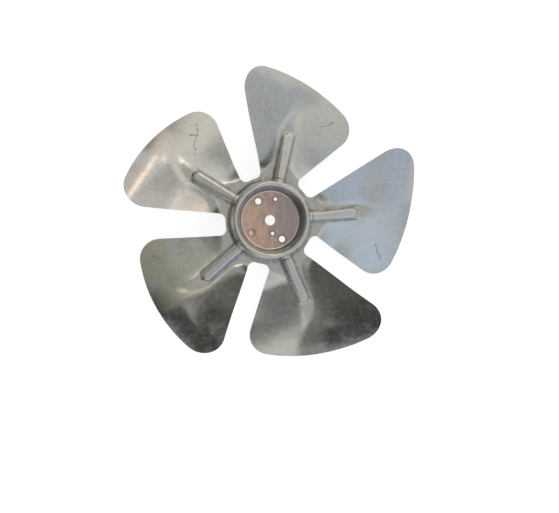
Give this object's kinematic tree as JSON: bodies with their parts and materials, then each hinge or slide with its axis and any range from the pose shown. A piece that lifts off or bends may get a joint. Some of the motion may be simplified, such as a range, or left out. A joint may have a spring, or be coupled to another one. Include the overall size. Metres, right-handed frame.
{
  "type": "axial fan impeller",
  "caption": "Pressed sheet aluminium axial fan impeller: flat-floored hub cup with a round ridge, cambered blades stiffened by hollow ribs.",
  "frame": {"origin": "on the axis of rotation, at the centre of the shaft hole, level with the top of the cup floor", "axes": "+Z along the axis of rotation out of the cup's mouth, +X along the first rib"},
  "size_m": [0.1923, 0.1922, 0.0535],
  "materials": {
    "sheet": "satin rolled sheet with fine handling scratches"
  },
  "bodies": {
    "root": {"impeller": "sheet"}
  },
  "joints": []
}
